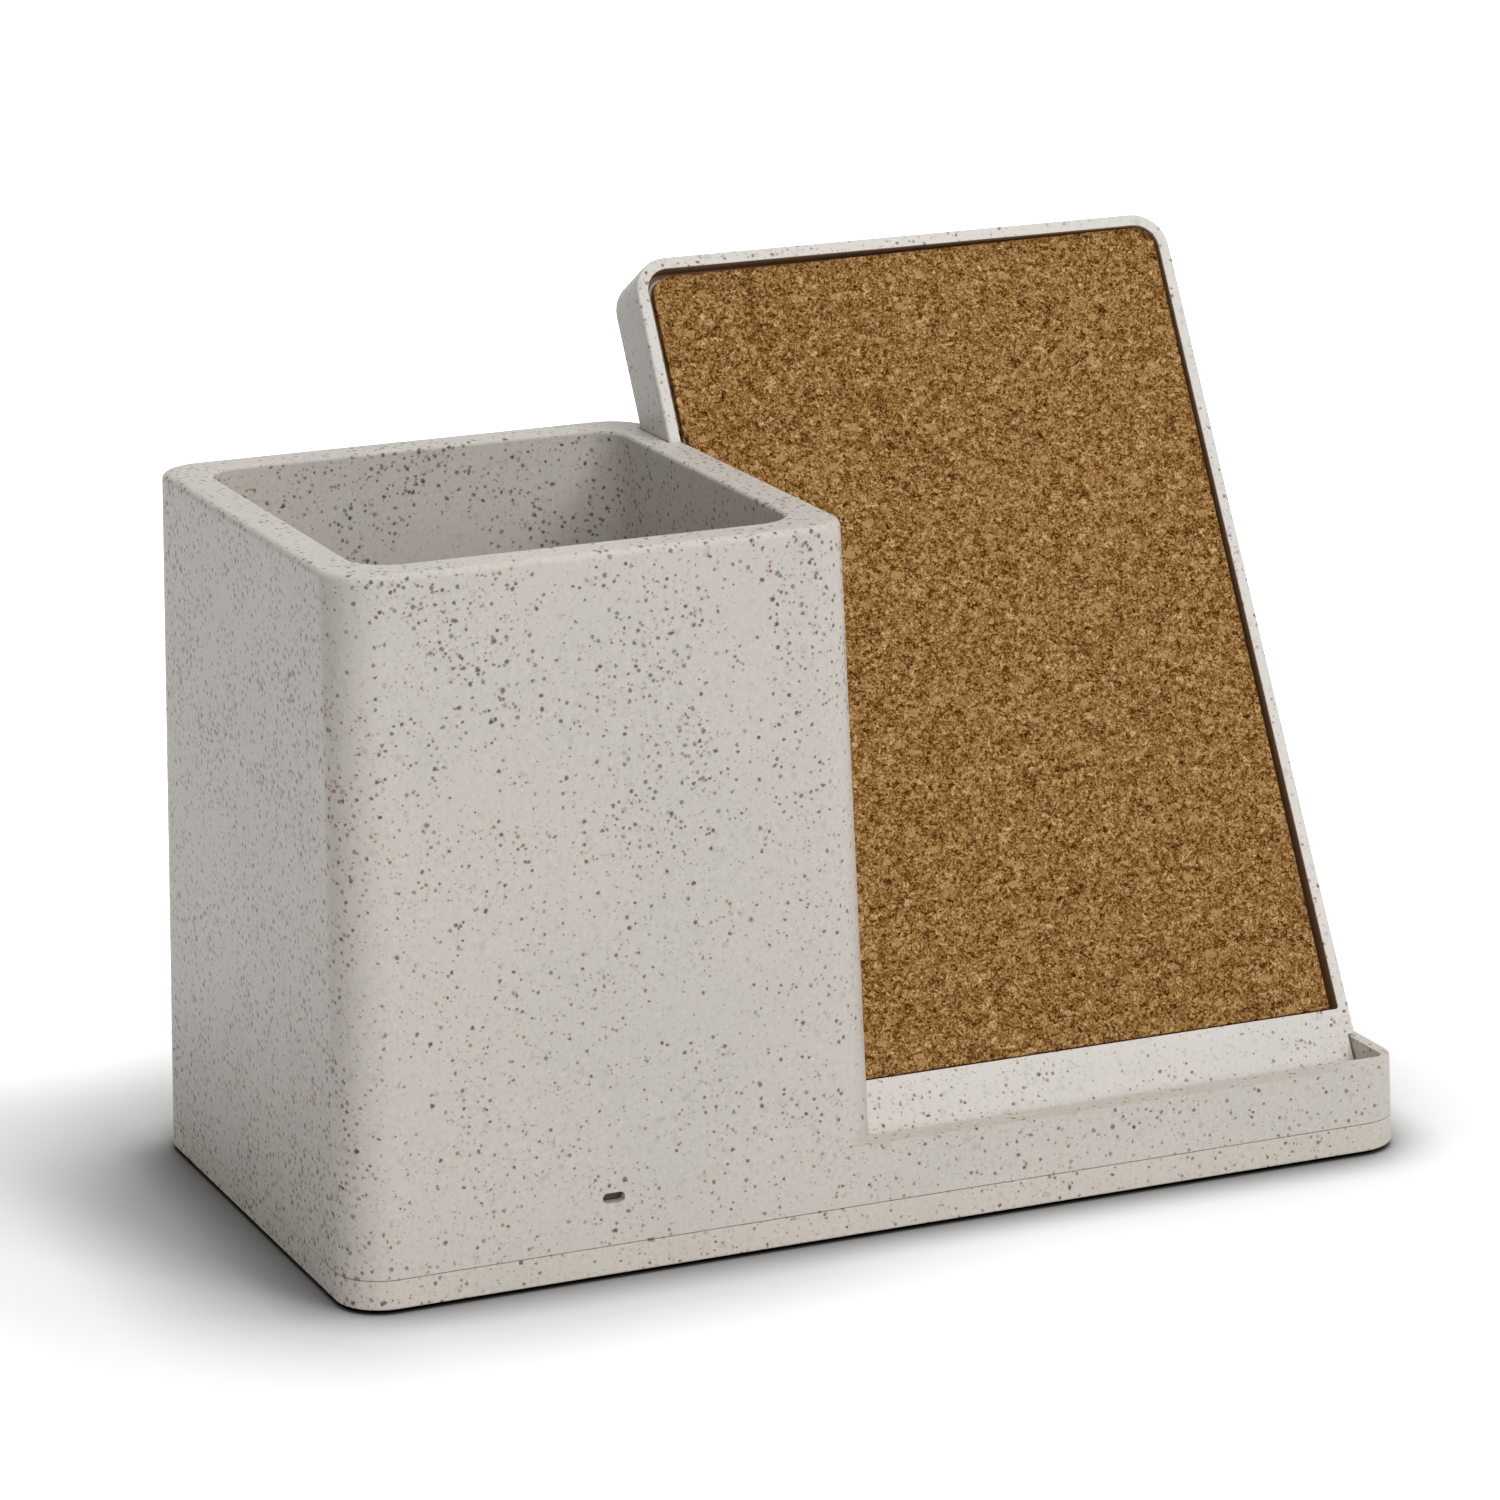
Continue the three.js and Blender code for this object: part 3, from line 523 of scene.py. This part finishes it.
def softened(node, name, width, weigh, reshape):
    """A copy of a solid with its flat faces joined, its sharp edges rounded and its skin smooth.

    reshape may move its points first."""
    piece = bpy.data.objects.new(name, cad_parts[node].data.copy())
    piece.data.materials.clear()
    bpy.context.scene.collection.objects.link(piece)
    mesh = bmesh.new()
    mesh.from_mesh(piece.data)
    bmesh.ops.remove_doubles(mesh, verts=mesh.verts, dist=SAME_POINT)
    bmesh.ops.dissolve_limit(mesh, angle_limit=FLAT_TURN, verts=mesh.verts, edges=mesh.edges)
    if reshape:
        reshape(mesh)
    weigh_sharp_edges(mesh, weigh)
    mesh.to_mesh(piece.data)
    mesh.free()
    round_edges(piece, width)
    smooth_skin(piece)
    return piece


def dress(node, name, width, material, weigh=None, reshape=None):
    """Stand a softened copy in a node's place, in its own finish."""
    piece = softened(node, name, width, weigh, reshape)
    piece.data.materials.append(material)
    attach(piece, "root")
    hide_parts(node)


def paint(node, material):
    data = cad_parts[node].data
    data.materials.clear()
    data.materials.append(material)


def numbered(stem, count):
    return [f"{stem}_{i + 1}" for i in range(count)]


def make_camera():
    back = Vector((sin(CAMERA_AZIMUTH) * cos(CAMERA_ELEVATION),
                   -cos(CAMERA_AZIMUTH) * cos(CAMERA_ELEVATION),
                   sin(CAMERA_ELEVATION)))
    aim = Vector((cover_low.x + AIM_FROM_LEFT,
                  cover_low.y + AIM_FROM_FRONT,
                  cover_low.z + AIM_ABOVE_COVER))
    right = Vector((0, 0, 1)).cross(back).normalized()
    up = back.cross(right)
    turned_right = right * cos(CAMERA_ROLL) + up * sin(CAMERA_ROLL)
    turned_up = up * cos(CAMERA_ROLL) - right * sin(CAMERA_ROLL)
    data = bpy.data.cameras.new("camera")
    data.sensor_width = SENSOR_IN_MM
    data.lens = FOCAL_PX / PHOTO_SIDE * SENSOR_IN_MM
    data.shift_x = -(CENTRE_PX[0] - PHOTO_SIDE / 2) / PHOTO_SIDE
    data.shift_y = (CENTRE_PX[1] - PHOTO_SIDE / 2) / PHOTO_SIDE
    camera = bpy.data.objects.new("camera", data)
    camera.matrix_world = Matrix((
        (turned_right.x, turned_up.x, back.x, aim.x + back.x * CAMERA_DISTANCE),
        (turned_right.y, turned_up.y, back.y, aim.y + back.y * CAMERA_DISTANCE),
        (turned_right.z, turned_up.z, back.z, aim.z + back.z * CAMERA_DISTANCE),
        (0, 0, 0, 1),
    ))
    bpy.context.scene.collection.objects.link(camera)
    bpy.context.scene.camera = camera


def make_lamps():
    for name, (place, aim, size, power) in LAMPS.items():
        data = bpy.data.lights.new(name, "AREA")
        data.shape = "SQUARE"
        data.size = size
        data.energy = power
        lamp = bpy.data.objects.new(name, data)
        lamp.location = place
        towards = Vector(aim) - Vector(place)
        lamp.rotation_euler = towards.to_track_quat("-Z", "Y").to_euler()
        bpy.context.scene.collection.objects.link(lamp)


def make_world():
    """An even sky that gives a soft light and shows as white."""
    world = bpy.data.worlds.new("studio")
    bpy.context.scene.world = world
    sky = Nodes(world)
    soft, white = [
        sky.node("ShaderNodeBackground", None, {"Color": WHITE, "Strength": strength})["Background"]
        for strength in (SKY_LIGHT, 1.0)
    ]
    shown = sky.node("ShaderNodeMixShader", None, {0: sky.seen_directly(), 1: soft, 2: white})
    sky.node("ShaderNodeOutputWorld", None, {"Surface": shown["Shader"]})


def floor_tone(nodes, parts, seen):
    """One shade for bounced light, and on show a paler one with painted shadow in the nooks."""
    # Painted shadow on the floor: darker in the nooks near the part, more so at the left
    left = (-1.0 * parts["X"]).smooth(*FLOOR_SHADOW_LEFT)
    wide, near = [nodes.open_share(reach) for reach in FLOOR_SHADOW_REACHES]
    open_sky = wide * near * (1.0 - left * (1.0 - wide))
    return FLOOR_SHADE + seen * (FLOOR_SHOWN * open_sky - FLOOR_SHADE)


def floor_finish():
    """A matt floor, and a glow that only shows and lights nothing, which makes it white far out."""
    material = bpy.data.materials.new("white_floor")
    nodes = Nodes(material)
    place = nodes.object_place()
    parts = nodes.parts(place)
    seen = nodes.seen_directly()
    tone = floor_tone(nodes, parts, seen)
    behind = parts["Y"].smooth(*FLOOR_FADE_BEHIND)
    away = nodes.length(place).smooth(*FLOOR_FADE).larger(behind)
    matt = nodes.node("ShaderNodeBsdfDiffuse", None, {"Color": tone})
    glow = nodes.node("ShaderNodeEmission", None, {"Color": WHITE, "Strength": seen * away})
    both = nodes.node("ShaderNodeAddShader", None, {0: matt["BSDF"], 1: glow["Emission"]})
    nodes.node("ShaderNodeOutputMaterial", None, {"Surface": both["Shader"]})
    return material


def make_floor():
    corners = [(x * FLOOR_HALF, y * FLOOR_HALF, 0) for x, y in ((-1, -1), (1, -1), (1, 1), (-1, 1))]
    data = bpy.data.meshes.new("floor")
    data.from_pydata(corners, [], [(0, 1, 2, 3)])
    data.materials.append(floor_finish())
    floor = bpy.data.objects.new("floor", data)
    bpy.context.scene.collection.objects.link(floor)


def crisp_at_seam(middle):
    """The shell's edge is rounded less along the parting line."""
    return SEAM_EDGE_SHARE if abs(middle.z - shell_low.z) < SEAM_REACH else 1.0


def close_seam(mesh):
    """Lift the cover's upper rim towards the shell."""
    for point in mesh.verts:
        if 0 < shell_low.z - point.co.z < SEAM_GAP_SOLID + SEAM_REACH:
            point.co.z = shell_low.z - SEAM_GAP


def make_body():
    shell = speckled_plastic("stone_look_body", srgb(206, 199, 191), srgb(202, 197, 189),
                             crowd=1.0)
    dress("upper_shell", "cup_and_tray_shell", EDGE_SOFT, shell,
          weigh=crisp_at_seam)
    cover = speckled_plastic("stone_look_cover", srgb(208, 201, 191), srgb(204, 198, 188),
                             crowd=0.2, amount=1.1)
    dress("bottom_cover", "base_cover", EDGE_FINE, cover, reshape=close_seam)


def recess_painted_shade(finish, colour):
    """Painted shade: brown that lines the recess behind the cork's edges, where shade falls."""
    apart = finish.vector("SUBTRACT", finish.place, tuple(CORK_FACE))
    axes = (Vector((1, 0, 0)), STAND_UP, STAND_OUT)
    across, up, out = [finish.dot(apart, tuple(axis)) for axis in axes]
    inside = 1.0 - out.smooth(*(FACE_ABOVE_CORK - below for below in SHADE_BELOW_FACE))
    inside = inside * out.smooth(*(-RECESS_FLOOR_BELOW - below for below in SHADE_UNDER_FLOOR))
    edge = SHADE_PAST_SIDES
    for value, (low, high) in ((across, RECESS_ACROSS), (up, RECESS_UP)):
        inside = inside * value.rise(low - 2 * edge, low - edge)
        inside = inside * (1.0 - value.rise(high + edge, high + 2 * edge))
    # The brown of the painted shade in the recess
    brown = finish.mix(finish.noise(900.0), srgb(150, 114, 82), srgb(118, 88, 62))
    return finish.mix(inside, colour, brown)


def hand_laid(mesh):
    """Move the cork's points so that it lies a little askew, nearer to the top right corner."""
    for point in mesh.verts:
        apart = point.co - CORK_FACE
        height = apart.dot(STAND_UP)
        right = (apart.x - RECESS_ACROSS[0]) / (RECESS_ACROSS[1] - RECESS_ACROSS[0])
        top = (height - RECESS_UP[0]) / (RECESS_UP[1] - RECESS_UP[0])
        left_shift = LEFT_EDGE_SHIFT if height > CORK_CLEAR_OF_CUP else 0.0
        right_shift = right * (RIGHT_EDGE_TURN * top - RIGHT_EDGE_INWARD) * MM
        point.co.x += (1 - right) * left_shift + right_shift
        point.co += STAND_UP * top * (TOP_EDGE_RISE * right - TOP_EDGE_LOW) * MM


def make_stand():
    # The stand's finish gets brown painted shade in the recess round the cork
    pale = speckled_plastic("stone_look_stand", srgb(219, 214, 208), srgb(215, 211, 205),
                            crowd=0.0, painted_shade=recess_painted_shade)
    dress("stand_frame", "stand_housing", EDGE_FINE, pale)
    dress("stand_back_cover", "stand_rear_panel", EDGE_FINE, pale)
    cork = pressed_cork("pressed_cork")
    dress("cork_pad", "cork_sheet", EDGE_FINE, cork, reshape=hand_laid)


def make_small_parts():
    rubber = moulded_rubber("black_rubber")
    for node in numbered("rubber_foot", 4):
        dress(node, f"{node}_pad", EDGE_SOFT, rubber)
    zinc = plated_steel("zinc_plate", srgb(190, 192, 194), srgb(150, 152, 156))
    for stem, count in (("cover_screw", 5), ("stand_screw", 2), ("board_screw", 4)):
        for node in numbered(stem, count):
            dress(node, f"{node}_body", EDGE_FINE, zinc)
    steel = plated_steel("drawn_steel", srgb(206, 208, 210), srgb(168, 170, 172))
    dress("cable_inlet", "charging_inlet", EDGE_FINE / 2, steel)
    guide = smoky_guide("smoky_guide")
    dress("light_guide", "indicator_window", EDGE_FINE, guide)


def make_inner_parts():
    """Paint the pieces inside, which keep their solids' shapes."""
    low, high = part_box("coil_winding")
    # The coil is thin and leans with the stand, so the slope of its box gives its axis
    slope = high - low
    axis = Vector((0, slope.z, -slope.y)).normalized()
    paint("coil_winding", wound_copper("wound_copper", (low + high) / 2, axis))
    # Nodes, finish, its light and dark tone, its roughness and the scale of its grain
    for nodes, name, light, dark, roughness, scale in (
        (["ferrite_plate"], "sintered_ferrite", (48, 48, 50), (36, 36, 38), 0.7, 600.0),
        (["coil_carrier"], "white_carrier", (232, 230, 226), (222, 220, 214), 0.55, 600.0),
        (["adhesive_sheet"], "adhesive_sheet_skin", (222, 219, 206), (206, 202, 188), 0.6, 600.0),
        (["circuit_board"], "green_laminate", (30, 92, 58), (22, 74, 46), 0.45, 900.0),
        (["controller_chip", "power_inductor"],
         "chip_resin", (32, 32, 34), (24, 24, 26), 0.5, 1500.0),
        (numbered("resonance_capacitor", 3),
         "capacitor_ceramic", (190, 158, 112), (170, 138, 94), 0.5, 600.0),
        (["indicator_lamp"], "lamp_resin", (234, 232, 220), (222, 218, 200), 0.3, 600.0),
        (numbered("coil_lead", 2), "lead_enamel", (128, 58, 38), (108, 46, 30), 0.35, 600.0),
    ):
        finish = inner_finish(name, srgb(*light), srgb(*dark), roughness, scale)
        for node in nodes:
            paint(node, finish)


bpy.context.scene.view_settings.view_transform = "Standard"
make_camera()
make_floor()
make_world()
make_lamps()
make_body()
make_stand()
make_small_parts()
make_inner_parts()
